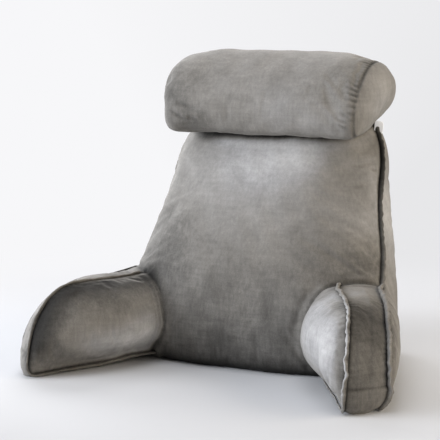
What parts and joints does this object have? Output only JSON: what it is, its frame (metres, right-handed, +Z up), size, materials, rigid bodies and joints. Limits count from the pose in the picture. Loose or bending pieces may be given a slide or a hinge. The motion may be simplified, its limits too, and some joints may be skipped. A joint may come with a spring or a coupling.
{
  "type": "reading pillow with arms",
  "caption": "Wedge-backed velvet reading pillow with two side arms and a D-section neck roll resting on the backrest's top edge.",
  "frame": {"origin": "on the floor at the centre of the backrest's flat base", "axes": "+X across the pillow towards the sitter's left arm rest, -Y the way the sitter faces, +Z up"},
  "size_m": [0.8782, 0.6843, 0.691],
  "materials": {
    "velvet": "warm grey short-pile velvet, brushed nap",
    "seam_flange": "the same velvet folded flat and stitched along the seam",
    "ribbon": "blank white satin ribbon"
  },
  "bodies": {
    "root": {"backrest": "velvet", "arm_left": "velvet", "arm_right": "velvet", "neck_roll": "velvet", "back_front_flange": "seam_flange", "back_rear_flange": "seam_flange", "arm_left_inner_flange": "seam_flange", "arm_left_outer_flange": "seam_flange", "arm_right_inner_flange": "seam_flange", "arm_right_outer_flange": "seam_flange", "side_tab": "ribbon"}
  },
  "joints": []
}
